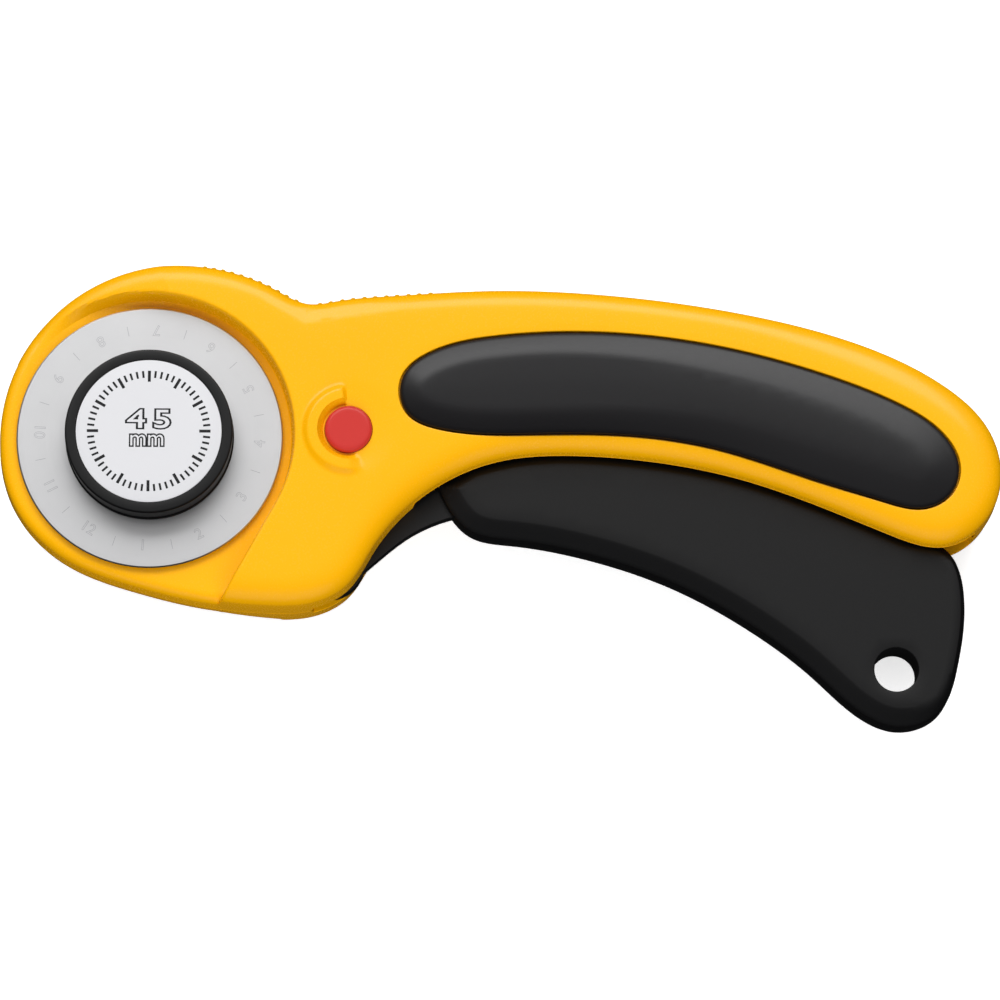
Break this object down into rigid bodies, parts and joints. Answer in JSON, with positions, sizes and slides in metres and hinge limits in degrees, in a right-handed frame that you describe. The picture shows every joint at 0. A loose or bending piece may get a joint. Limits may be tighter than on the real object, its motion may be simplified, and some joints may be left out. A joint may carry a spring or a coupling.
{
  "type": "rotary cutter",
  "caption": "Hand-held rotary cutter: round blade with a capped bolt, curved two-shell handle with soft grip pads, squeeze trigger with a hanging hole and a push-through lock.",
  "frame": {"origin": "on the blade's axis at rest, on the plane that the nut and the rear grip rest on", "axes": "+X along the handle away from the blade, +Y from the trigger to the thumb rest, +Z out of the front face, parallel to the blade's axis"},
  "size_m": [0.1699, 0.0788, 0.021],
  "materials": {
    "housing_plastic": "satin moulded ABS",
    "grip_rubber": "matte elastomer",
    "trigger_rubber": "matte elastomer over nylon",
    "black_nylon": "moulded glass-filled nylon",
    "cap_plastic": "satin moulded nylon",
    "label_film": "printed white film",
    "blade_steel": "fine ground tungsten steel",
    "plated_steel": "bright zinc plate",
    "spring_steel": "drawn wire",
    "brass": "turned",
    "lock_plastic": "satin moulded acetal"
  },
  "bodies": {
    "housing": {"front_shell": "housing_plastic", "rear_shell": "housing_plastic", "front_grip": "grip_rubber", "rear_grip": "grip_rubber", "pivot_pin": "plated_steel", "return_spring": "spring_steel", "lock_detent_clip": "spring_steel", "housing_screws": "plated_steel"},
    "trigger": {"trigger_arm": "black_nylon", "trigger_grip": "trigger_rubber", "pivot_bush": "brass", "blade_bolt": "plated_steel", "bolt_cap": "cap_plastic", "cap_label": "label_film", "spring_washer": "spring_steel", "blade_nut": "cap_plastic", "nut_insert": "brass"},
    "blade": {"blade": "blade_steel"},
    "lock": {"lock_button": "lock_plastic", "lock_button_cap": "lock_plastic"}
  },
  "joints": [
    {"name": "trigger_squeeze", "type": "hinge", "parent": "housing", "child": "trigger", "pos_m": [0.0304, -0.0207, 0.0105], "axis": [0, 0, 1], "range_deg": [0, 11], "stiffness_Nm_per_rad": 0.8, "springref_deg": -8.59, "deforming": ["return_spring"]},
    {"name": "blade_spin", "type": "hinge", "parent": "trigger", "child": "blade", "pos_m": [0, 0, 0.01565], "axis": [0, 0, 1], "continuous": true},
    {"name": "lock_slide", "type": "slide", "parent": "housing", "child": "lock", "axis": [0, 0, -1], "range_m": [0, 0.0025]}
  ]
}
